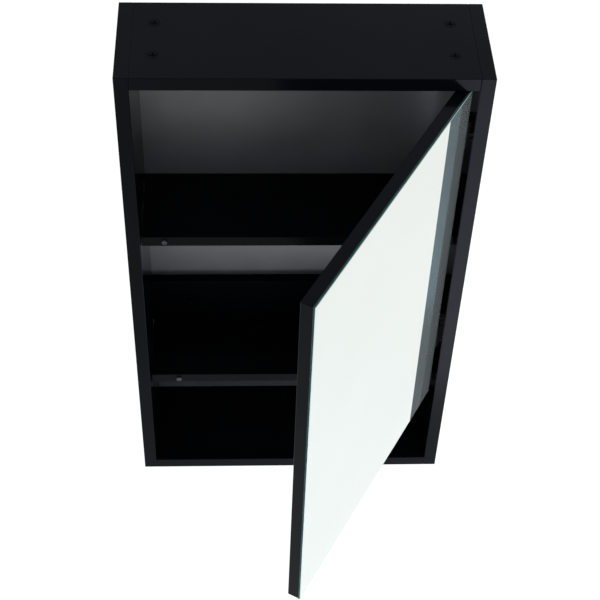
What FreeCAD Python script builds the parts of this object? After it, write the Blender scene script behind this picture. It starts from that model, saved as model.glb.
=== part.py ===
import FreeCAD, Part
import math
import os

# Wall-hung mirrored cabinet: a black board carcass with two shelves, and an inset mirror door on two
# concealed cup hinges. Lengths are millimetres. X runs to the right, Y towards the wall and Z up.
# The origin is the middle of the back, on the wall plane, and the door stands open as it is shown.

# Carcass boards
cabinet_width = 450.0
cabinet_height = 750.0
cabinet_depth = 150.0
board_thickness = 18.0
board_edge_round = 0.8
back_thickness = 3.0
back_rebate_width = 9.0
back_fit = 0.3
shelf_thickness = 16.0
shelf_end_gap = 0.4
upper_shelf_height = 473.0
lower_shelf_height = 195.0
rail_thickness = 16.0
rail_height = 80.0

# Wall fixing holes through the two rails and the back
fixing_hole_radius = 3.0
fixing_sink_radius = 6.0
fixing_sink_depth = 3.0
fixing_spacing = 300.0

# Knock-down fittings of the top and bottom panels
cam_radius = 7.5
cam_depth = 12.5
cam_end_distance = 27.0
cam_front_distance = 44.0
cam_back_distance = 107.0
cam_slot_width = 1.6
cam_slot_length = 9.0
cam_slot_depth = 1.5
cam_bolt_radius = 3.0
cam_bolt_head_radius = 3.5
cam_bolt_head_length = 3.0
cam_bolt_thread_length = 11.0
cam_bolt_bore_radius = 4.0
dowel_radius = 4.0
dowel_length = 30.0
dowel_side_length = 11.0
fitting_clearance = 0.1

# Shelf supports and door bumpers
pin_radius = 2.5
pin_side_length = 8.0
pin_tab_length = 9.0
pin_tab_width = 8.0
pin_tab_thickness = 2.5
pin_front_distance = 25.0
pin_back_distance = 28.0
bumper_radius = 4.0
bumper_crown = 1.2
bumper_door_gap = 0.3
upper_bumper_inset = 30.0
lower_bumper_inset = 40.0

# Screws: head radius, head height, shank radius, length under the head
screw_cross_width = 0.8
screw_cross_depth_share = 0.6
back_screw = (3.0, 1.4, 1.4, 7.0)
back_screw_edge_distance = 4.5
back_screw_columns = 3
back_screw_rows = 4
plate_screw = (3.8, 2.0, 1.8, 11.0)
cup_screw = (3.6, 1.6, 1.6, 9.0)
arm_screw = (4.0, 1.8, 2.4, 8.0)

# Door
door_width = 406.0
door_bottom_height = 172.0
door_top_gap = 3.0
door_hinge_gap = 6.0
door_board_thickness = 15.0
mirror_thickness = 3.0
mirror_arris = 0.6
door_open_angle = 60.3
door_widest_angle = 90.0
shelf_setback = 3.0

# Hinge places on the door, and the cup let into its board
upper_hinge_drop = 96.0
lower_hinge_rise = 84.0
cup_radius = 17.5
cup_edge_distance = 5.0
cup_depth = 13.5
cup_wall = 0.8
cup_flange_thickness = 1.2
cup_flange_margin = 1.2
cup_lug_radius = 6.5
cup_screw_spacing = 45.0
cup_screw_offset = 9.5
cup_notch_half_width = 10.0
cup_rim_notch_depth = 3.0
cup_cheek_thickness = 1.2
cup_cheek_reach = 10.0
hinge_clearance = 0.05

# Pivots of the linkage with the door shut. Each is a distance in from the door's hinge edge, and a
# distance behind the back of the door (negative inside the cup).
outer_arm_pivot = (42.4, 20.0)
inner_arm_pivot = (39.4, 8.3)
outer_cup_pivot = (10.0, -1.4)
inner_cup_pivot = (12.0, -7.7)
outer_link_knee = (15.5, -2.4)
inner_link_knee = (23.0, -8.4)
outer_link_turn_share = -0.3824
inner_link_turn_share = -0.2692

# Link plates and pins, as half widths from the middle of the hinge
inner_link_half = 3.2
stack_gap = 0.6
sheet_thickness = 1.2
arm_pin_radius = 1.25
outer_cup_pin_radius = 1.1
inner_cup_pin_radius = 1.0
link_half_width = 2.0
link_eye_wall = 1.2
inner_slot_play = 0.2
link_web_length = 6.0
link_web_start = 11.0
link_web_standoff = 1.2

# Hinge arm and its plate on the right side panel
arm_head_margin = 3.2
arm_head_back_margin = 4.5
arm_crank_front = 13.0
arm_web_left = 11.0
arm_shoulder = 4.0
arm_plate_gap = 1.0
arm_front_step = 3.0
arm_back_distance = 60.0
plate_base_thickness = 2.4
plate_half_height = 24.0
plate_wing_width = 16.0
plate_front_distance = 18.0
plate_spine_half = 6.0
plate_screw_spacing = 32.0
plate_corner_radius = 5.0
arm_screw_back_distance = 48.0
adjuster_back_distance = 34.0
adjuster_radius = 2.5

overrun = 1.0

# Places worked out from the sizes above
half_width = cabinet_width / 2
inner_half_width = half_width - board_thickness
bottom_z = -cabinet_height / 2
top_z = cabinet_height / 2
inner_bottom_z = bottom_z + board_thickness
inner_top_z = top_z - board_thickness
front_y = -cabinet_depth
back_face_y = -back_thickness
door_back_y = front_y + mirror_thickness + door_board_thickness
shelf_front_y = door_back_y + shelf_setback
rail_front_y = back_face_y - rail_thickness
door_hinge_x = inner_half_width - door_hinge_gap
door_free_x = door_hinge_x - door_width
door_bottom_z = bottom_z + door_bottom_height
door_top_z = inner_top_z - door_top_gap
upper_shelf_z = bottom_z + upper_shelf_height
lower_shelf_z = bottom_z + lower_shelf_height
cup_x = door_hinge_x - cup_edge_distance - cup_radius
hinge_heights = (door_top_z - upper_hinge_drop, door_bottom_z + lower_hinge_rise)
cam_rows = (front_y + cam_front_distance, front_y + cam_back_distance)
dowel_row = (cam_rows[0] + cam_rows[1]) / 2

arm_inner_half = inner_link_half + stack_gap
arm_outer_half = arm_inner_half + sheet_thickness
outer_link_inner_half = arm_outer_half + stack_gap
outer_link_outer_half = outer_link_inner_half + sheet_thickness
cheek_inner_half = outer_link_outer_half + stack_gap
cheek_outer_half = cheek_inner_half + cup_cheek_thickness

X_AXIS = FreeCAD.Vector(1, 0, 0)
Y_AXIS = FreeCAD.Vector(0, 1, 0)
Z_AXIS = FreeCAD.Vector(0, 0, 1)


def box(x0, x1, y0, y1, z0, z1):
    """A block between two corners."""
    return Part.makeBox(x1 - x0, y1 - y0, z1 - z0, FreeCAD.Vector(x0, y0, z0))


def rod(x, y, z, axis, radius, length):
    """A round bar that starts at a point and runs along an axis."""
    return Part.makeCylinder(radius, length, FreeCAD.Vector(x, y, z), axis)


def upright(point, radius, z0, z1):
    """A round bar along Z through a plan point."""
    return rod(point[0], point[1], z0, Z_AXIS, radius, z1 - z0)


def prism(points, z0, z1):
    """A plan outline carried up from z0 to z1."""
    corners = [FreeCAD.Vector(x, y, z0) for x, y in points]
    face = Part.Face(Part.makePolygon(corners + corners[:1]))
    return face.extrude(FreeCAD.Vector(0, 0, z1 - z0))


def fused(shapes):
    """Several overlapping shapes as one clean solid."""
    whole = shapes[0].fuse(shapes[1:]) if len(shapes) > 1 else shapes[0]
    return whole.removeSplitter()


def bar(path, radius, z0, z1):
    """A flat bar with round ends and elbows along a plan path."""
    pieces = [upright(point, radius, z0, z1) for point in path]
    for (ax, ay), (bx, by) in zip(path, path[1:]):
        length = math.hypot(bx - ax, by - ay)
        if length > 0:
            side_x = -(by - ay) / length * radius
            side_y = (bx - ax) / length * radius
            corners = [(ax + side_x, ay + side_y), (bx + side_x, by + side_y),
                       (bx - side_x, by - side_y), (ax - side_x, ay - side_y)]
            pieces.append(prism(corners, z0, z1))
    return fused(pieces)


def rounded(shape, axis, radius):
    """Round the straight edges of a block that run along one axis."""
    edges = [e for e in shape.Edges if abs(abs(e.tangentAt(e.FirstParameter).dot(axis)) - 1) < 1e-6]
    return shape.makeFillet(radius, edges)


def softened(shape):
    """A board with all its edges slightly rounded."""
    return shape.makeFillet(board_edge_round, shape.Edges)


def write(name, solids):
    """Write one node: a solid, or a group of separate like solids."""
    solids = solids if isinstance(solids, list) else [solids]
    shape = solids[0] if len(solids) == 1 else Part.makeCompound(solids)
    shape.exportStep("parts/" + name + ".step")


def screw(size, countersunk):
    """A cross-slot screw along -Z, with the top of its head at zero if sunk, else its seat at zero."""
    head_radius, head_height, shank_radius, length = size
    if countersunk:
        head = Part.makeCone(shank_radius, head_radius, head_height, FreeCAD.Vector(0, 0, -head_height))
        top = 0
        seat = -head_height
    else:
        head = Part.makeCylinder(head_radius, head_height)
        rim = [e for e in head.Edges if e.Closed and e.CenterOfMass.z > head_height / 2]
        head = head.makeFillet(head_height / 2, rim)
        top = head_height
        seat = 0
    tip = seat - length
    shank = Part.makeCylinder(shank_radius, length - shank_radius, FreeCAD.Vector(0, 0, tip + shank_radius))
    point = Part.makeCone(shank_radius / 2, shank_radius, shank_radius, FreeCAD.Vector(0, 0, tip))
    body = fused([head, shank, point])
    depth = head_height * screw_cross_depth_share
    half = head_radius - head_height / 2
    for length_x, length_y in ((half, screw_cross_width / 2), (screw_cross_width / 2, half)):
        body = body.cut(box(-length_x, length_x, -length_y, length_y, top - depth, top + overrun))
    return body


def screw_hole(size, countersunk):
    """The hole that a screw of this size leaves along -Z, with a sink for its head if it is sunk."""
    head_radius, head_height, shank_radius, length = size
    depth = head_height + length + fitting_clearance
    radius = shank_radius + fitting_clearance
    hole = Part.makeCylinder(radius, depth + overrun, FreeCAD.Vector(0, 0, -depth))
    if countersunk:
        sink = FreeCAD.Vector(0, 0, -head_height)
        hole = hole.fuse(Part.makeCone(radius, head_radius + fitting_clearance, head_height, sink))
    return hole


def aimed(shape, direction, x, y, z):
    """Turn a shape made along +Z to point along a direction, and carry it to a place."""
    placed = shape.copy()
    turn = FreeCAD.Rotation(Z_AXIS, direction)
    placed.Placement = FreeCAD.Placement(FreeCAD.Vector(x, y, z), turn).multiply(shape.Placement)
    return placed


def turned(shape, centre, degrees):
    """A copy turned about the upright line through a plan point."""
    moved = shape.copy()
    moved.rotate(FreeCAD.Vector(centre[0], centre[1], 0), Z_AXIS, degrees)
    return moved


def swung(point, centre, degrees):
    """A plan point turned about another."""
    angle = math.radians(degrees)
    dx = point[0] - centre[0]
    dy = point[1] - centre[1]
    return (centre[0] + dx * math.cos(angle) - dy * math.sin(angle),
            centre[1] + dx * math.sin(angle) + dy * math.cos(angle))


def hinge_point(place):
    """A plan point of the hinge, from its distances to the door's hinge edge and back."""
    return (door_hinge_x - place[0], door_back_y + place[1])


outer_arm_point = hinge_point(outer_arm_pivot)
inner_arm_point = hinge_point(inner_arm_pivot)
outer_cup_point = hinge_point(outer_cup_pivot)
inner_cup_point = hinge_point(inner_cup_pivot)


def door_point_at(point, angle):
    """Where a plan point of the shut door goes when the door has opened by an angle."""
    on_link = swung(point, outer_cup_point, angle * (1 - outer_link_turn_share))
    return swung(on_link, outer_arm_point, angle * outer_link_turn_share)


def opened(shape):
    """A piece of the shut door carried to the open door of the photograph."""
    on_link = turned(shape, outer_cup_point, door_open_angle * (1 - outer_link_turn_share))
    return turned(on_link, outer_arm_point, door_open_angle * outer_link_turn_share)


# Fasteners between the boards: places along the two ends of the top and bottom panels
def end_places():
    """Each panel end: the side it is on, and the direction from the panel into the side board."""
    return [(-1, FreeCAD.Vector(-1, 0, 0)), (1, FreeCAD.Vector(1, 0, 0))]


def cam_sets():
    """Each cam: end sign, row, the panel face it is let into, and the direction out of that face."""
    sets = []
    for sign, outward in end_places():
        for row in cam_rows:
            sets.append((sign, outward, row, top_z, 1))
            sets.append((sign, outward, row, bottom_z, -1))
    return sets


def panel_mid_z(face_z, up):
    """Half way through a panel, from its outer face."""
    return face_z - up * board_thickness / 2


def cam_place_x(sign):
    """The cam discs' distance from the middle, towards one end."""
    return sign * (inner_half_width - cam_end_distance)


def dowel_places():
    """Each dowel: end sign, direction into the side board, its row and its height."""
    places = []
    rail_row = (rail_front_y + back_face_y) / 2
    rail_quarter = rail_height / 4
    upper_rail_mid = inner_top_z - rail_height / 2
    lower_rail_mid = lower_shelf_z + rail_height / 2
    for sign, outward in end_places():
        for z in (panel_mid_z(top_z, 1), panel_mid_z(bottom_z, -1)):
            places.append((sign, outward, dowel_row, z))
        for z in (upper_rail_mid, lower_rail_mid):
            places.append((sign, outward, rail_row, z - rail_quarter))
            places.append((sign, outward, rail_row, z + rail_quarter))
    return places


def dowel(place, clearance):
    """A dowel across a board joint, or the bore that takes it."""
    sign, outward, row, z = place
    inside = dowel_length - dowel_side_length + clearance
    start_x = sign * (inner_half_width - inside)
    return rod(start_x, row, z, outward, dowel_radius + clearance, dowel_length + 2 * clearance)


def cam_bolt_bore(cam):
    """The bores of one cam bolt: wide in the panel, close in the side board."""
    sign, outward, row, face_z, up = cam
    z = panel_mid_z(face_z, up)
    wide = rod(cam_place_x(sign), row, z, outward, cam_bolt_bore_radius, cam_end_distance)
    reach = cam_bolt_thread_length + fitting_clearance
    close = rod(sign * (inner_half_width - overrun), row, z, outward,
                cam_bolt_radius + fitting_clearance, reach + overrun)
    return wide, close


def cam_bore(cam, clearance):
    """The round pocket of a cam disc, from the panel's outer face inwards."""
    sign, outward, row, face_z, up = cam
    depth = cam_depth + clearance
    low = face_z - depth if up > 0 else face_z - overrun
    return rod(cam_place_x(sign), row, low, Z_AXIS, cam_radius + clearance, depth + overrun)


def shelf_pin_places():
    """Each shelf support: the side it is on, its row, and the underside that it carries."""
    places = []
    for shelf_z in (upper_shelf_z, lower_shelf_z):
        for sign, outward in end_places():
            for row in (shelf_front_y + pin_front_distance, back_face_y - pin_back_distance):
                places.append((sign, outward, row, shelf_z - shelf_thickness))
    return places


def pin_axis_z(underside_z):
    """The peg's axis, with its top level with the shelf's underside."""
    return underside_z - pin_radius


def plate_screw_places():
    """Each hinge plate screw: its row and height on the right side panel."""
    row = door_back_y + plate_front_distance + plate_wing_width / 2
    half = plate_screw_spacing / 2
    return [(row, z + offset) for z in hinge_heights for offset in (-half, half)]


def fixing_places():
    """The wall fixing holes: two through each rail."""
    heights = (inner_top_z - rail_height / 2, lower_shelf_z + rail_height / 2)
    return [(sign * fixing_spacing / 2, z) for z in heights for sign in (-1, 1)]


def back_screw_places():
    """Small screws round the rim of the back, into the rebates of the carcass."""
    side_x = inner_half_width + back_screw_edge_distance
    end_z = inner_top_z + back_screw_edge_distance
    step_x = 2 * inner_half_width / (back_screw_columns + 1)
    step_z = (inner_top_z - inner_bottom_z) / (back_screw_rows + 1)
    rows = [inner_bottom_z + step_z * (n + 1) for n in range(back_screw_rows)]
    columns = [-inner_half_width + step_x * (n + 1) for n in range(back_screw_columns)]
    places = [(x, z) for x in (-side_x, side_x) for z in rows]
    return places + [(x, z) for x in columns for z in (-end_z, end_z)]


def back_screw_hole(place):
    """The hole of one back panel screw, sunk in the back's outer face."""
    return aimed(screw_hole(back_screw, True), Y_AXIS, place[0], 0, place[1])


# Carcass
def side_panel(sign):
    """A full-height side board with its rebate for the back and the bores on its inner face."""
    x0, x1 = sorted((sign * inner_half_width, sign * half_width))
    panel = softened(box(x0, x1, front_y, 0, bottom_z, top_z))
    rebate_x = sorted((sign * (inner_half_width - overrun), sign * (inner_half_width + back_rebate_width)))
    cuts = [box(rebate_x[0], rebate_x[1], back_face_y, overrun,
                inner_bottom_z - back_rebate_width, inner_top_z + back_rebate_width)]
    cuts += [cam_bolt_bore(cam)[1] for cam in cam_sets() if cam[0] == sign]
    cuts += [dowel(place, fitting_clearance) for place in dowel_places() if place[0] == sign]
    for pin_sign, outward, row, underside in shelf_pin_places():
        if pin_sign == sign:
            cuts.append(rod(sign * (inner_half_width - overrun), row, pin_axis_z(underside), outward,
                            pin_radius + fitting_clearance, pin_side_length + fitting_clearance + overrun))
    cuts += [back_screw_hole(place) for place in back_screw_places() if place[0] * sign > inner_half_width]
    if sign > 0:
        hole = screw_hole(plate_screw, True)
        seat_x = inner_half_width - plate_base_thickness
        cuts += [aimed(hole, -X_AXIS, seat_x, row, z) for row, z in plate_screw_places()]
    return panel.cut(cuts)


def end_panel(face_z, up):
    """The top or bottom board, between the sides, with cam pockets in its outer face."""
    z0, z1 = sorted((face_z, face_z - up * board_thickness))
    panel = softened(box(-inner_half_width, inner_half_width, front_y, 0, z0, z1))
    inner_z = face_z - up * board_thickness
    rebate_z = sorted((inner_z - up * overrun, inner_z + up * back_rebate_width))
    cuts = [box(-half_width, half_width, back_face_y, overrun, rebate_z[0], rebate_z[1])]
    for cam in cam_sets():
        if cam[4] == up:
            cuts += [cam_bore(cam, fitting_clearance), cam_bolt_bore(cam)[0]]
    cuts += [dowel(place, fitting_clearance) for place in dowel_places() if z0 < place[3] < z1]
    cuts += [back_screw_hole(place) for place in back_screw_places() if z0 < place[1] < z1]
    return panel.cut(cuts)


def back_panel():
    """The thin back in the rebates, with screw holes round its rim and the wall fixing holes."""
    reach_x = inner_half_width + back_rebate_width - back_fit
    low_z = inner_bottom_z - back_rebate_width + back_fit
    high_z = inner_top_z + back_rebate_width - back_fit
    panel = box(-reach_x, reach_x, back_face_y, 0, low_z, high_z)
    cuts = [back_screw_hole(place) for place in back_screw_places()]
    cuts += [rod(x, back_face_y - overrun, z, Y_AXIS, fixing_hole_radius, back_thickness + 2 * overrun)
             for x, z in fixing_places()]
    return panel.cut(cuts)


def shelf(top):
    """A shelf board set back behind the door."""
    reach = inner_half_width - shelf_end_gap
    return softened(box(-reach, reach, shelf_front_y, back_face_y, top - shelf_thickness, top))


def rail(low_z):
    """A fixing rail across the back, with countersunk holes for the wall screws."""
    body = softened(box(-inner_half_width, inner_half_width, rail_front_y, back_face_y,
                        low_z, low_z + rail_height))
    cuts = [dowel(place, fitting_clearance) for place in dowel_places()
            if low_z < place[3] < low_z + rail_height and place[2] > rail_front_y]
    for x, z in fixing_places():
        if low_z < z < low_z + rail_height:
            start = FreeCAD.Vector(x, rail_front_y, z)
            cuts.append(Part.makeCylinder(fixing_hole_radius, rail_thickness + overrun, start, Y_AXIS))
            cuts.append(Part.makeCone(fixing_sink_radius, fixing_hole_radius, fixing_sink_depth,
                                      start, Y_AXIS))
    return body.cut(cuts)


def cam_disc(cam):
    """A cam disc with a cross slot in its face and a passage for the bolt."""
    sign, outward, row, face_z, up = cam
    x = cam_place_x(sign)
    low, high = sorted((face_z, face_z - up * cam_depth))
    disc = rod(x, row, low, Z_AXIS, cam_radius, high - low)
    slot_z = sorted((face_z + up * overrun, face_z - up * cam_slot_depth))
    for dx, dy in ((cam_slot_length, cam_slot_width), (cam_slot_width, cam_slot_length)):
        disc = disc.cut(box(x - dx / 2, x + dx / 2, row - dy / 2, row + dy / 2, slot_z[0], slot_z[1]))
    passage = cam_bolt_head_radius + fitting_clearance
    start = x - sign * (cam_bolt_head_length + fitting_clearance)
    return disc.cut(rod(start, row, panel_mid_z(face_z, up), outward, passage, cam_radius * 2))


def cam_bolt(cam):
    """The bolt that the cam draws in: a round head, a neck, and a thread in the side board."""
    sign, outward, row, face_z, up = cam
    x = cam_place_x(sign)
    z = panel_mid_z(face_z, up)
    start = x - sign * cam_bolt_head_length
    head = rod(start, row, z, outward, cam_bolt_head_radius, cam_bolt_head_length)
    length = cam_end_distance + cam_bolt_thread_length
    return fused([head, rod(x, row, z, outward, cam_bolt_radius, length)])


def shelf_pin(place):
    """A shelf support: a round peg in the side board and a flat tab under the shelf."""
    sign, outward, row, underside = place
    z = pin_axis_z(underside)
    peg = rod(sign * (inner_half_width - pin_tab_length), row, z, outward, pin_radius,
              pin_tab_length + pin_side_length)
    x0, x1 = sorted((sign * inner_half_width, sign * (inner_half_width - pin_tab_length)))
    tab = box(x0, x1, row - pin_tab_width / 2, row + pin_tab_width / 2,
              underside - pin_tab_thickness, underside)
    return fused([peg, rounded(tab, Z_AXIS, pin_tab_thickness / 2)])


def bumper(x, shelf_z):
    """A soft clear button on a shelf's front edge, which the shut door rests against."""
    length = shelf_setback - bumper_door_gap
    button = rod(x, shelf_front_y, shelf_z - shelf_thickness / 2, -Y_AXIS, bumper_radius, length)
    rim = [e for e in button.Edges if e.Closed and e.CenterOfMass.y < shelf_front_y - length / 2]
    return button.makeFillet(bumper_crown, rim)


# Door
def door_board():
    """The black board of the door, bored for the two hinge cups and their screws."""
    board = softened(box(door_free_x, door_hinge_x, front_y + mirror_thickness, door_back_y,
                         door_bottom_z, door_top_z))
    cuts = []
    hole = screw_hole(cup_screw, True)
    for z in hinge_heights:
        cuts.append(rod(cup_x, door_back_y - cup_depth - fitting_clearance, z, Y_AXIS,
                        cup_radius + fitting_clearance, cup_depth + fitting_clearance + overrun))
        cuts += [aimed(hole, Y_AXIS, x, y, place_z) for x, y, place_z in cup_screw_places(z)]
    return board.cut(cuts)


def mirror_pane():
    """The mirror glued over the whole front of the board, with a polished arris on its front edges."""
    pane = box(door_free_x, door_hinge_x, front_y, front_y + mirror_thickness, door_bottom_z, door_top_z)
    rim = [e for e in pane.Edges if e.CenterOfMass.y < front_y + mirror_thickness / 4]
    return pane.makeChamfer(mirror_arris, rim)


def cup_screw_places(z):
    """The two screws of a hinge cup, above and below it: x, the top of the flange, and z."""
    x = cup_x - cup_screw_offset
    y = door_back_y + cup_flange_thickness
    return [(x, y, z - cup_screw_spacing / 2), (x, y, z + cup_screw_spacing / 2)]


def hinge_cup(z):
    """A pressed steel cup with its screw flange, and two cheeks inside that hold the pivot pins."""
    floor_y = door_back_y - cup_depth
    flange_y = door_back_y + cup_flange_thickness
    body = rod(cup_x, floor_y, z, Y_AXIS, cup_radius, cup_depth)
    flange = [rod(cup_x, door_back_y, z, Y_AXIS, cup_radius + cup_flange_margin, cup_flange_thickness)]
    lugs = cup_screw_places(z)
    for x, y, lug_z in lugs:
        flange.append(rod(x, door_back_y, lug_z, Y_AXIS, cup_lug_radius, cup_flange_thickness))
    lug_x = lugs[0][0]
    flange.append(box(lug_x - cup_lug_radius, lug_x + cup_lug_radius, door_back_y, flange_y,
                      lugs[0][2], lugs[1][2]))
    cup = fused([body] + flange)
    hollow = rod(cup_x, floor_y + cup_wall, z, Y_AXIS, cup_radius - cup_wall, cup_depth + 2 * overrun)
    notch = box(cup_x, door_hinge_x, door_back_y, flange_y + overrun,
                z - cup_notch_half_width, z + cup_notch_half_width)
    rim_notch = box(cup_x, door_hinge_x, door_back_y - cup_rim_notch_depth, flange_y + overrun,
                    z - cheek_inner_half, z + cheek_inner_half)
    cup = cup.cut([hollow, notch, rim_notch])
    cheek_x = outer_cup_point[0] - cup_cheek_reach
    inside = rod(cup_x, floor_y, z, Y_AXIS, cup_radius, cup_depth)
    for low, high in ((-cheek_outer_half, -cheek_inner_half), (cheek_inner_half, cheek_outer_half)):
        cheek = box(cheek_x, door_hinge_x, floor_y, door_back_y, z + low, z + high)
        cup = cup.fuse(cheek.common(inside))
    cup = cup.removeSplitter()
    pivots = ((outer_cup_point, outer_cup_pin_radius), (inner_cup_point, inner_cup_pin_radius))
    cuts = [upright(point, radius + hinge_clearance, z - cheek_outer_half, z + cheek_outer_half)
            for point, radius in pivots]
    cuts += [aimed(screw_hole(cup_screw, True), Y_AXIS, x, y, place_z) for x, y, place_z in lugs]
    return cup.cut(cuts)


# Links. The outer link turns on the arm and carries the cup, and the inner link follows it.
def mirrored_plates(z, inner, outer):
    """The two levels, below and above the hinge's middle, of a pair of plates."""
    return ((z - outer, z - inner), (z + inner, z + outer))


def outer_link(z):
    """Two bent plates outside the arm, tied by a web on the side away from the door."""
    knee = hinge_point(outer_link_knee)
    eye = arm_pin_radius + link_eye_wall
    cup_eye = outer_cup_pin_radius + link_eye_wall
    dx = outer_arm_point[0] - knee[0]
    dy = outer_arm_point[1] - knee[1]
    length = math.hypot(dx, dy)
    along = (dx / length, dy / length)
    side = (along[1], -along[0])
    near = link_web_start
    far = link_web_start + link_web_length
    web_inside = link_half_width + link_web_standoff
    web_outside = web_inside + sheet_thickness

    def strip(inside):
        return [(knee[0] + along[0] * a + side[0] * s, knee[1] + along[1] * a + side[1] * s)
                for a, s in ((near, inside), (far, inside), (far, web_outside), (near, web_outside))]

    pieces = [prism(strip(web_inside), z - outer_link_outer_half, z + outer_link_outer_half)]
    for low, high in mirrored_plates(z, outer_link_inner_half, outer_link_outer_half):
        pieces.append(prism(strip(0), low, high))
        pieces.append(bar([outer_arm_point, knee, outer_cup_point], link_half_width, low, high))
        pieces.append(upright(outer_arm_point, eye, low, high))
        pieces.append(upright(outer_cup_point, cup_eye, low, high))
    link = fused(pieces)
    holes = [upright(outer_arm_point, arm_pin_radius + hinge_clearance, z - cup_radius, z + cup_radius),
             upright(outer_cup_point, outer_cup_pin_radius + hinge_clearance, z - cup_radius, z + cup_radius)]
    return turned(link.cut(holes), outer_arm_point, door_open_angle * outer_link_turn_share)


def inner_slot():
    """The slot for the inner cup pin: the path of that pin in the inner link's own frame.

    The path is sampled over the whole swing, and the slot is the straight band that holds it.
    """
    steps = 24
    spans = []
    angles = []
    for step in range(steps + 1):
        angle = door_widest_angle * step / steps
        point = swung(door_point_at(inner_cup_point, angle), inner_arm_point, -angle * inner_link_turn_share)
        dx = point[0] - inner_arm_point[0]
        dy = point[1] - inner_arm_point[1]
        spans.append(math.hypot(dx, dy))
        angles.append(math.atan2(dy, dx))
    middle = (max(angles) + min(angles)) / 2
    stray = (max(angles) - min(angles)) / 2 * max(spans)
    ends = [(inner_arm_point[0] + span * math.cos(middle), inner_arm_point[1] + span * math.sin(middle))
            for span in (min(spans), max(spans))]
    return ends, inner_cup_pin_radius + stray + inner_slot_play


def inner_link(z):
    """A solid bent link inside the arm, with a slotted eye round the inner cup pin."""
    knee = hinge_point(inner_link_knee)
    slot_ends, slot_radius = inner_slot()
    low = z - inner_link_half
    high = z + inner_link_half
    eye = arm_pin_radius + link_eye_wall
    link = fused([bar([inner_arm_point, knee, slot_ends[0]], link_half_width, low, high),
                  upright(inner_arm_point, eye, low, high),
                  bar(slot_ends, slot_radius + link_eye_wall / 2, low, high)])
    slot = bar(slot_ends, slot_radius, low - overrun, high + overrun)
    hole = upright(inner_arm_point, arm_pin_radius + hinge_clearance, low - overrun, high + overrun)
    return turned(link.cut([slot, hole]), inner_arm_point, door_open_angle * inner_link_turn_share)


# Arm and plate on the right side panel
plate_x = inner_half_width - plate_base_thickness
arm_right_x = plate_x - arm_plate_gap
arm_left_x = door_hinge_x - arm_web_left
arm_end_y = door_back_y + arm_back_distance
arm_head_back_y = outer_arm_point[1] + arm_head_back_margin
arm_crank_y = door_back_y + arm_crank_front


def hinge_arm(z):
    """A cranked channel of folded sheet: two cheeks that hold the arm pins, and a web behind them."""
    head_x = outer_arm_point[0] - arm_head_margin
    nose_y = inner_arm_point[1] - arm_head_margin
    outline = [(inner_arm_point[0] - arm_head_margin, nose_y),
               (inner_arm_point[0] + arm_head_margin, nose_y),
               (inner_arm_point[0] + 2 * arm_head_margin, arm_crank_y),
               (arm_left_x, arm_crank_y),
               (arm_left_x + arm_shoulder, arm_crank_y + arm_front_step),
               (arm_right_x, arm_crank_y + arm_front_step),
               (arm_right_x, arm_end_y),
               (arm_left_x, arm_end_y),
               (arm_left_x, arm_head_back_y + arm_shoulder),
               (arm_left_x - arm_shoulder, arm_head_back_y),
               (head_x, arm_head_back_y),
               (head_x, outer_arm_point[1] - arm_head_margin)]
    channel = prism(outline, z - arm_outer_half, z + arm_outer_half)
    inside_x = arm_left_x + sheet_thickness
    inside_y = arm_head_back_y - sheet_thickness
    inside = [(head_x - overrun, nose_y - overrun),
              (arm_right_x + overrun, nose_y - overrun),
              (arm_right_x + overrun, arm_end_y + overrun),
              (inside_x, arm_end_y + overrun),
              (inside_x, arm_head_back_y + arm_shoulder),
              (inside_x - arm_shoulder - sheet_thickness, inside_y),
              (head_x - overrun, inside_y)]
    channel = channel.cut(prism(inside, z - arm_inner_half, z + arm_inner_half))
    cuts = [upright(point, arm_pin_radius + hinge_clearance, z - cup_radius, z + cup_radius)
            for point in (outer_arm_point, inner_arm_point)]
    cuts.append(aimed(screw_hole(arm_screw, False), -X_AXIS, arm_left_x, arm_screw_y, z))
    cuts.append(rod(arm_left_x - overrun, adjuster_y, z, X_AXIS,
                    adjuster_radius + fitting_clearance, sheet_thickness + 2 * overrun))
    return channel.cut(cuts)


arm_screw_y = door_back_y + arm_screw_back_distance
adjuster_y = door_back_y + adjuster_back_distance
plate_left_x = arm_left_x + sheet_thickness + fitting_clearance
plate_front_y = door_back_y + plate_front_distance


def mounting_plate(z):
    """A cross plate screwed to the side panel, with a spine that the arm slides over."""
    wing = rounded(box(plate_x, inner_half_width, plate_front_y, plate_front_y + plate_wing_width,
                       z - plate_half_height, z + plate_half_height), X_AXIS, plate_corner_radius)
    foot = box(plate_x, inner_half_width, plate_front_y, arm_end_y,
               z - plate_spine_half, z + plate_spine_half)
    spine = box(plate_left_x, plate_x + overrun, plate_front_y, arm_end_y,
                z - inner_link_half, z + inner_link_half)
    plate = fused([wing, foot, spine])
    cuts = []
    for row, screw_z in plate_screw_places():
        if abs(screw_z - z) < plate_half_height:
            cuts.append(aimed(screw_hole(plate_screw, True), -X_AXIS, plate_x, row, screw_z))
    cuts.append(aimed(screw_hole(arm_screw, False), -X_AXIS, arm_left_x, arm_screw_y, z))
    cuts.append(rod(plate_left_x - overrun, adjuster_y, z, X_AXIS,
                    adjuster_radius + fitting_clearance, adjuster_length + overrun))
    return plate.cut(cuts)


adjuster_length = (plate_x - plate_left_x) / 2


def adjuster(z):
    """A slotted grub screw that sets the door sideways, through the arm into the plate's spine."""
    length = adjuster_length + sheet_thickness
    grub = rod(arm_left_x, adjuster_y, z, X_AXIS, adjuster_radius, length)
    half = screw_cross_width / 2
    return grub.cut(box(arm_left_x - overrun, arm_left_x + half * 2, adjuster_y - adjuster_radius,
                        adjuster_y + adjuster_radius, z - half, z + half))


def arm_pins(z):
    """The two pins of an arm. The outer one also carries the outer link's plates."""
    return [upright(outer_arm_point, arm_pin_radius, z - outer_link_outer_half, z + outer_link_outer_half),
            upright(inner_arm_point, arm_pin_radius, z - arm_outer_half, z + arm_outer_half)]


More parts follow.
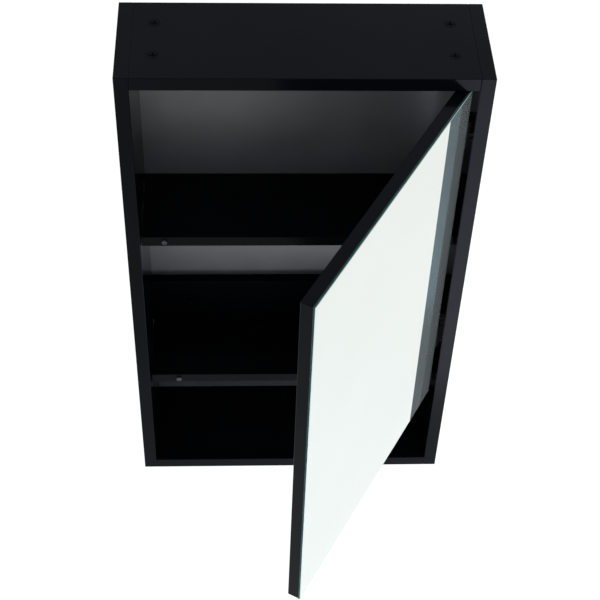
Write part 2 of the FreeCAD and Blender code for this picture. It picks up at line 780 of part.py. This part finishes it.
def cup_pins(z):
    """The pins of a cup: two short ones for the outer link, and one right across for the inner link."""
    start = outer_link_inner_half - stack_gap / 2
    pins = [upright(outer_cup_point, outer_cup_pin_radius, low, high)
            for low, high in mirrored_plates(z, start, cheek_outer_half)]
    return pins + [upright(inner_cup_point, inner_cup_pin_radius, z - cheek_outer_half, z + cheek_outer_half)]


os.makedirs("parts", exist_ok=True)

write("left_side_panel", side_panel(-1))
write("right_side_panel", side_panel(1))
write("top_panel", end_panel(top_z, 1))
write("bottom_panel", end_panel(bottom_z, -1))
write("back_panel", back_panel())
write("upper_shelf", shelf(upper_shelf_z))
write("lower_shelf", shelf(lower_shelf_z))
write("upper_fixing_rail", rail(inner_top_z - rail_height))
write("lower_fixing_rail", rail(lower_shelf_z))
write("cam_discs", [cam_disc(cam) for cam in cam_sets()])
write("cam_bolts", [cam_bolt(cam) for cam in cam_sets()])
write("dowels", [dowel(place, 0) for place in dowel_places()])
write("shelf_supports", [shelf_pin(place) for place in shelf_pin_places()])
write("back_panel_screws", [aimed(screw(back_screw, True), Y_AXIS, x, 0, z) for x, z in back_screw_places()])
write("upper_door_bumper", bumper(-inner_half_width + upper_bumper_inset, upper_shelf_z))
write("lower_door_bumper", bumper(-inner_half_width + lower_bumper_inset, lower_shelf_z))

write("hinge_mounting_plates", [mounting_plate(z) for z in hinge_heights])
write("hinge_plate_screws", [aimed(screw(plate_screw, True), -X_AXIS, plate_x, row, z)
                             for row, z in plate_screw_places()])
write("hinge_arms", [hinge_arm(z) for z in hinge_heights])
write("hinge_arm_screws", [aimed(screw(arm_screw, False), -X_AXIS, arm_left_x, arm_screw_y, z)
                           for z in hinge_heights])
write("hinge_side_adjusters", [adjuster(z) for z in hinge_heights])
write("hinge_arm_pins", [pin for z in hinge_heights for pin in arm_pins(z)])

write("outer_hinge_links", [outer_link(z) for z in hinge_heights])
write("inner_hinge_links", [inner_link(z) for z in hinge_heights])

write("door_board", opened(door_board()))
write("mirror_glass", opened(mirror_pane()))
write("hinge_cups", [opened(hinge_cup(z)) for z in hinge_heights])
write("hinge_cup_screws", [opened(aimed(screw(cup_screw, True), Y_AXIS, x, y, place_z))
                           for z in hinge_heights for x, y, place_z in cup_screw_places(z)])
write("hinge_cup_pins", [opened(pin) for z in hinge_heights for pin in cup_pins(z)])

# The linkage as the joints need it
for label, point in (("outer arm pivot", outer_arm_point), ("inner arm pivot", inner_arm_point),
                     ("outer cup pivot", door_point_at(outer_cup_point, door_open_angle))):
    print(label, "x %.3f y %.3f" % point)
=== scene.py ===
import math
import bpy
import numpy as np
from mathutils import Matrix, Vector


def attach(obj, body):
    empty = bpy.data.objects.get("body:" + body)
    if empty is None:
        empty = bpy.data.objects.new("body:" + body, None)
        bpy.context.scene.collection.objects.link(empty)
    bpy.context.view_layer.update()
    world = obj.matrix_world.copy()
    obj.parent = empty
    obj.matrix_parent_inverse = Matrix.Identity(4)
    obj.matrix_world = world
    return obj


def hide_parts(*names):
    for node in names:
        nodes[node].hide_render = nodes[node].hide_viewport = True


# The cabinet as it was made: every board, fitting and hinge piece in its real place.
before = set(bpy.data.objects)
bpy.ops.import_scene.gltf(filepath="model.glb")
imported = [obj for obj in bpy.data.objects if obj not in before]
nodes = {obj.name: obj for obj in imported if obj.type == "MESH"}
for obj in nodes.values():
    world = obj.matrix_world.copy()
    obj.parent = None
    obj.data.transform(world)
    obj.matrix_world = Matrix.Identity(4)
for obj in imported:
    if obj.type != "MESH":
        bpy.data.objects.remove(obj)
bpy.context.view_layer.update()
scene = bpy.context.scene

# The eye of the photograph: high in front of the cabinet and a little to its left, looking down.
# Its place and angles were fitted to the corners of the cabinet and of its open door.
eye_place = Vector((-0.0824, -1.5032, 1.4319))
eye_yaw, eye_pitch, eye_roll = (math.radians(a) for a in (3.762, 48.350, -2.491))
eye_sensor = 36.0
eye_lens = 86.93
eye_shift = 0.075
eye_reach = 60.0
ahead = Vector((
    math.sin(eye_yaw) * math.cos(eye_pitch),
    math.cos(eye_yaw) * math.cos(eye_pitch),
    -math.sin(eye_pitch)))
level = Vector((math.cos(eye_yaw), -math.sin(eye_yaw), 0.0))
below = ahead.cross(level)
across = level * math.cos(eye_roll) + below * math.sin(eye_roll)
down = below * math.cos(eye_roll) - level * math.sin(eye_roll)
eye = bpy.data.objects.new("eye", bpy.data.cameras.new("eye"))
scene.collection.objects.link(eye)
eye.matrix_world = Matrix((
    (across.x, -down.x, -ahead.x, eye_place.x),
    (across.y, -down.y, -ahead.y, eye_place.y),
    (across.z, -down.z, -ahead.z, eye_place.z),
    (0.0, 0.0, 0.0, 1.0)))
eye.data.sensor_width = eye_sensor
eye.data.lens = eye_lens
eye.data.shift_y = eye_shift
eye.data.clip_end = eye_reach
scene.camera = eye
scene.view_settings.view_transform = "Standard"

# The room: a plain pale floor well below the cabinet, which hangs at the height of a face, and soft
# light from all round that is strongest on the right. Two broad lamps lie low on that side.
floor_z = -1.475
floor_half = 14.0


def sheet_mesh(name, points, faces):
    """A mesh of the given points (an array of rows) and faces (an array of rows of corners)."""
    mesh = bpy.data.meshes.new(name)
    mesh.from_pydata(points.tolist(), [], faces.tolist())
    mesh.update()
    thing = bpy.data.objects.new(name, mesh)
    scene.collection.objects.link(thing)
    return thing


def shader(name):
    """A new material, its node tree, its Principled shader, and the object's own coordinates."""
    material = bpy.data.materials.new(name)
    material.use_nodes = True
    tree = material.node_tree
    place = tree.nodes.new("ShaderNodeTexCoord").outputs["Object"]
    return material, tree, tree.nodes["Principled BSDF"], place


floor_corners = np.array([(-1, -1), (1, -1), (1, 1), (-1, 1)]) * floor_half
floor = sheet_mesh("floor", np.column_stack((floor_corners, np.full(len(floor_corners), floor_z))),
                   np.array([(0, 1, 2, 3)]))
pale_floor, tree, surface, place = shader("pale_floor")
surface.inputs["Base Color"].default_value = (0.90, 0.90, 0.90, 1)
surface.inputs["Roughness"].default_value = 0.9
surface.inputs["Emission Color"].default_value = (1.03, 0.955, 0.78, 1)
surface.inputs["Emission Strength"].default_value = 0.34
floor.data.materials.append(pale_floor)

# The light from all round is even on the left and on the right. Its strength grows between them, over
# the directions whose share of X runs from left_share to right_share.
left_share, left_strength = -0.3, 0.62
right_share, right_strength = 0.4, 1.10
sky = bpy.data.worlds.new("studio")
scene.world = sky
sky.use_nodes = True
sky_tree = sky.node_tree
direction = sky_tree.nodes.new("ShaderNodeTexCoord").outputs["Generated"]
split = sky_tree.nodes.new("ShaderNodeSeparateXYZ")
sky_tree.links.new(direction, split.inputs[0])
rightward = sky_tree.nodes.new("ShaderNodeMapRange")
rightward.inputs["From Min"].default_value = left_share
rightward.inputs["From Max"].default_value = right_share
rightward.inputs["To Min"].default_value = left_strength
rightward.inputs["To Max"].default_value = right_strength
sky_tree.links.new(split.outputs["X"], rightward.inputs["Value"])
backdrop = sky_tree.nodes["Background"]
backdrop.inputs["Color"].default_value = (0.89, 0.95, 1.02, 1)
sky_tree.links.new(rightward.outputs["Result"], backdrop.inputs["Strength"])


def soft_light(name, place, aim, width, length, power, colour):
    """An oblong soft lamp at a place, turned towards a point."""
    lamp = bpy.data.lights.new(name, "AREA")
    lamp.shape = "RECTANGLE"
    lamp.color = colour
    lamp.size = width
    lamp.size_y = length
    lamp.energy = power
    thing = bpy.data.objects.new(name, lamp)
    scene.collection.objects.link(thing)
    thing.location = place
    thing.rotation_euler = (Vector(aim) - Vector(place)).to_track_quat("-Z", "Y").to_euler()


hinge_side_front = (0.2, -0.15, 0.0)
soft_light("low_right_light", place=(0.70, -1.36, -1.25), aim=hinge_side_front,
           width=0.80, length=2.1, power=25, colour=(0.82, 0.87, 1.07))
soft_light("far_right_light", place=(1.55, -0.95, -1.2), aim=hinge_side_front,
           width=0.7, length=0.8, power=12, colour=(0.38, 0.76, 1.0))

# Side, top and bottom panels: wood board, faced with a smooth black laminate and edged with bands to
# match. They are pegged together and drawn tight by bolts and cams. The sheen varies a little from
# place to place, and the skin has a fine even tooth.
noise_low, noise_high = 0.3, 0.7


def spread(tree, place, grain, detail, low, high):
    """A noise of so many grains per metre: noise_low to noise_high, stretched to run from low to high."""
    noise = tree.nodes.new("ShaderNodeTexNoise")
    noise.inputs["Scale"].default_value = grain
    noise.inputs["Detail"].default_value = detail
    tree.links.new(place, noise.inputs["Vector"])
    band = tree.nodes.new("ShaderNodeMapRange")
    band.inputs["From Min"].default_value = noise_low
    band.inputs["From Max"].default_value = noise_high
    band.inputs["To Min"].default_value = low
    band.inputs["To Max"].default_value = high
    tree.links.new(noise.outputs["Fac"], band.inputs["Value"])
    return band.outputs["Result"]


def tinted(tree, surface, place, grain, detail, dark, light):
    """A base colour that runs from dark to light, as a noise runs from 0 to 1."""
    value = spread(tree, place, grain, detail, low=0.0, high=1.0)
    ramp = tree.nodes.new("ShaderNodeValToRGB")
    ramp.color_ramp.elements[0].color = (*dark, 1)
    ramp.color_ramp.elements[1].color = (*light, 1)
    tree.links.new(value, ramp.inputs["Fac"])
    tree.links.new(ramp.outputs["Color"], surface.inputs["Base Color"])


def rubbed(tree, surface, place, grain, detail, low, high):
    """A roughness that runs from low to high with a noise."""
    tree.links.new(spread(tree, place, grain, detail, low, high), surface.inputs["Roughness"])


def toothed(tree, surface, place, grain, detail, depth):
    """A bump whose height is a noise from 0 to 1, times a depth in metres."""
    height = spread(tree, place, grain, detail, low=0.0, high=1.0)
    bump = tree.nodes.new("ShaderNodeBump")
    bump.inputs["Strength"].default_value = 1.0
    bump.inputs["Distance"].default_value = depth
    tree.links.new(height, bump.inputs["Height"])
    tree.links.new(bump.outputs["Normal"], surface.inputs["Normal"])


def dress(names, material):
    """Put one material on all the slots of the named nodes."""
    for name in names:
        for slot in nodes[name].material_slots:
            slot.material = material


black_laminate, tree, surface, place = shader("black_laminate")
tinted(tree, surface, place, grain=7.0, detail=4.0,
       dark=(0.0016, 0.0020, 0.0030), light=(0.0030, 0.0036, 0.0050))
rubbed(tree, surface, place, grain=30.0, detail=5.0, low=0.12, high=0.17)
surface.inputs["Specular IOR Level"].default_value = 0.045
toothed(tree, surface, place, grain=1400.0, detail=3.0, depth=0.000006)
dress(["left_side_panel", "right_side_panel", "top_panel", "bottom_panel"], black_laminate)

# Cam bolts: turned steel, zinc plated, bright and slightly grained. Each is fixed in a side panel, and
# a cam in the top or bottom panel draws it in by its head.
bright_zinc, tree, surface, place = shader("bright_zinc")
tinted(tree, surface, place, grain=160.0, detail=5.0, dark=(0.42, 0.42, 0.43), light=(0.66, 0.66, 0.67))
surface.inputs["Metallic"].default_value = 1.0
rubbed(tree, surface, place, grain=700.0, detail=4.0, low=0.22, high=0.42)
dress(["cam_bolts"], bright_zinc)

# Cam discs: die-cast zinc, blackened, let into the outer faces of the top and bottom panels and flush
# with them. They are darker and duller than the laminate.
black_zinc, tree, surface, place = shader("black_zinc")
tinted(tree, surface, place, grain=220.0, detail=5.0,
       dark=(0.0010, 0.0010, 0.0012), light=(0.0028, 0.0028, 0.0031))
rubbed(tree, surface, place, grain=800.0, detail=4.0, low=0.45, high=0.60)
surface.inputs["Specular IOR Level"].default_value = 0.04
dress(["cam_discs"], black_zinc)

# Dowels: plain round pegs of raw beech. They sit in bores across the joints between the side panels
# and the other boards, and are hidden there.
beech, tree, surface, place = shader("beech")
tinted(tree, surface, place, grain=300.0, detail=6.0, dark=(0.42, 0.28, 0.15), light=(0.66, 0.48, 0.30))
surface.inputs["Roughness"].default_value = 0.7
dress(["dowels"], beech)

# Fixing rails: boards with the panels' black laminate, pegged between the side panels at the back, one
# under the top panel and one on the lower shelf. Their countersunk holes take the wall screws.
dress(["upper_fixing_rail", "lower_fixing_rail"], black_laminate)

# Back panel: thin board with a grey satin skin, let into rebates in the other panels and held by small
# zinc plated screws round its rim.
grey_skin, tree, surface, place = shader("grey_skin")
tinted(tree, surface, place, grain=9.0, detail=6.0,
       dark=(0.075, 0.077, 0.081), light=(0.110, 0.112, 0.118))
rubbed(tree, surface, place, grain=45.0, detail=4.0, low=0.34, high=0.42)
surface.inputs["Specular IOR Level"].default_value = 1.0
toothed(tree, surface, place, grain=1100.0, detail=3.0, depth=0.000006)
dress(["back_panel"], grey_skin)
dress(["back_panel_screws"], bright_zinc)

# Shelves: boards with the panels' black laminate, which lie loose behind the door. Under each are
# zinc plated supports, with a peg in a side panel and a flat tab for the shelf.
dress(["shelf_supports"], bright_zinc)
dress(["upper_shelf", "lower_shelf"], black_laminate)

# Door bumpers: soft clear buttons, stuck to the shelves' front edges to soften the door's stop.
# The black board behind them shows through, so they look dark.
clear_button, tree, surface, place = shader("clear_button")
tinted(tree, surface, place, grain=400.0, detail=3.0,
       dark=(0.030, 0.030, 0.032), light=(0.050, 0.050, 0.053))
surface.inputs["Roughness"].default_value = 0.35
surface.inputs["Specular IOR Level"].default_value = 0.25
surface.inputs["Transmission Weight"].default_value = 0.2
dress(["upper_door_bumper", "lower_door_bumper"], clear_button)

# Hinge plates: die-cast zinc, dull, each held on the right side panel by bright zinc plated screws. Their
# base colour is painted dark, as painted shade for the dark gap beside the door's hinge edge.
painted_shade_zinc, tree, surface, place = shader("painted_shade_zinc")
tinted(tree, surface, place, grain=220.0, detail=5.0, dark=(0.02, 0.02, 0.021), light=(0.05, 0.05, 0.052))
surface.inputs["Metallic"].default_value = 0.6
rubbed(tree, surface, place, grain=800.0, detail=4.0, low=0.38, high=0.55)
dress(["hinge_mounting_plates"], painted_shade_zinc)
dress(["hinge_plate_screws"], bright_zinc)

# Hinges: arms, links and cups of pressed and folded steel, nickel plated, with fine drawn lines. Each
# arm slides over its plate's spine, the links turn on pins, and the cup is screwed into the door.
drawn_scale = (1.0, 1.0, 14.0)
nickel, tree, surface, place = shader("nickel")
drawn = tree.nodes.new("ShaderNodeMapping")
drawn.inputs["Scale"].default_value = drawn_scale
tree.links.new(place, drawn.inputs["Vector"])
drawn_place = drawn.outputs["Vector"]
tinted(tree, surface, drawn_place, grain=120.0, detail=5.0,
       dark=(0.46, 0.455, 0.45), light=(0.68, 0.675, 0.66))
surface.inputs["Metallic"].default_value = 1.0
rubbed(tree, surface, drawn_place, grain=300.0, detail=4.0, low=0.16, high=0.34)
dress(["hinge_arms", "hinge_cups", "outer_hinge_links", "inner_hinge_links"], nickel)
dress(["hinge_arm_screws", "hinge_side_adjusters", "hinge_arm_pins", "hinge_cup_screws",
       "hinge_cup_pins"], bright_zinc)

# Door board: board with the panels' black laminate on its back and edges, bored for the hinge cups.
# The mirror covers its front.
dress(["door_board"], black_laminate)

# Mirror: 3 mm float glass, silvered behind and glued over the door's whole front. Its front edges have
# a polished arris that catches the light, and its edges are dark green glass.
pane_low_x, pane_high_x = -0.205, 0.201
pane_low_z, pane_high_z = -0.203, 0.354
pane_front, pane_thick, arris = -0.150, 0.003, 0.0006
shut_pivot = np.array((0.1910, -0.1334))
open_pivot = np.array((0.18003, -0.14438))
open_turn = math.radians(60.3)


def opened(points):
    """Points of the shut door, turned about the hinge's cup pivot and carried to where it stands open."""
    flat = points[:, :2] - shut_pivot
    swung = np.stack((flat[:, 0] * math.cos(open_turn) - flat[:, 1] * math.sin(open_turn),
                      flat[:, 0] * math.sin(open_turn) + flat[:, 1] * math.cos(open_turn)), axis=1)
    return np.column_stack((swung + open_pivot, points[:, 2]))


# The outline runs round the pane, once for each depth: back, start of the arris, and the front face's
# rim, which is set in by the arris. A wall of four faces joins each outline to the next.
inset = np.array((0.0, 0.0, arris))
depth = np.array((pane_thick, arris, 0.0))
corner_x = np.array((0, 1, 1, 0))
corner_z = np.array((0, 0, 1, 1))
ring_x = pane_low_x + inset[:, None] + corner_x * (pane_high_x - pane_low_x - 2 * inset[:, None])
ring_z = pane_low_z + inset[:, None] + corner_z * (pane_high_z - pane_low_z - 2 * inset[:, None])
ring_y = pane_front + depth[:, None] + 0 * ring_x
rings = np.stack((ring_x, ring_y, ring_z), axis=2).reshape(-1, 3)
corners = len(corner_x)
step = np.arange(corners)
after = (step + 1) % corners
wall = np.stack((step, after, after + corners, step + corners), axis=1)
front_face = step + 2 * corners
back_face = step[::-1]
pane_faces = np.concatenate((front_face[None], wall + corners, wall, back_face[None]))
pane = sheet_mesh("mirror_pane", opened(rings), pane_faces)
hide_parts("mirror_glass")
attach(pane, "door")

# The silver is a little short of full metal, which gives the glass a slight haze.
silver, tree, surface, place = shader("silver")
tinted(tree, surface, place, grain=5.0, detail=3.0,
       dark=(0.715, 0.730, 0.683), light=(0.742, 0.756, 0.710))
surface.inputs["Metallic"].default_value = 0.87
rubbed(tree, surface, place, grain=12.0, detail=5.0, low=0.0, high=0.02)
arris_glass, tree, surface, place = shader("arris_glass")
tinted(tree, surface, place, grain=60.0, detail=4.0, dark=(0.26, 0.38, 0.355), light=(0.36, 0.49, 0.46))
surface.inputs["Roughness"].default_value = 0.12
edge_glass, tree, surface, place = shader("edge_glass")
tinted(tree, surface, place, grain=80.0, detail=4.0,
       dark=(0.008, 0.030, 0.026), light=(0.022, 0.066, 0.058))
surface.inputs["Roughness"].default_value = 0.15
surface.inputs["Specular IOR Level"].default_value = 0.15
for finish in (silver, arris_glass, edge_glass):
    pane.data.materials.append(finish)
silver_faces, arris_faces, edge_faces = 1, corners, corners + 1
pane.data.polygons.foreach_set("material_index",
                               np.repeat((0, 1, 2), (silver_faces, arris_faces, edge_faces)))
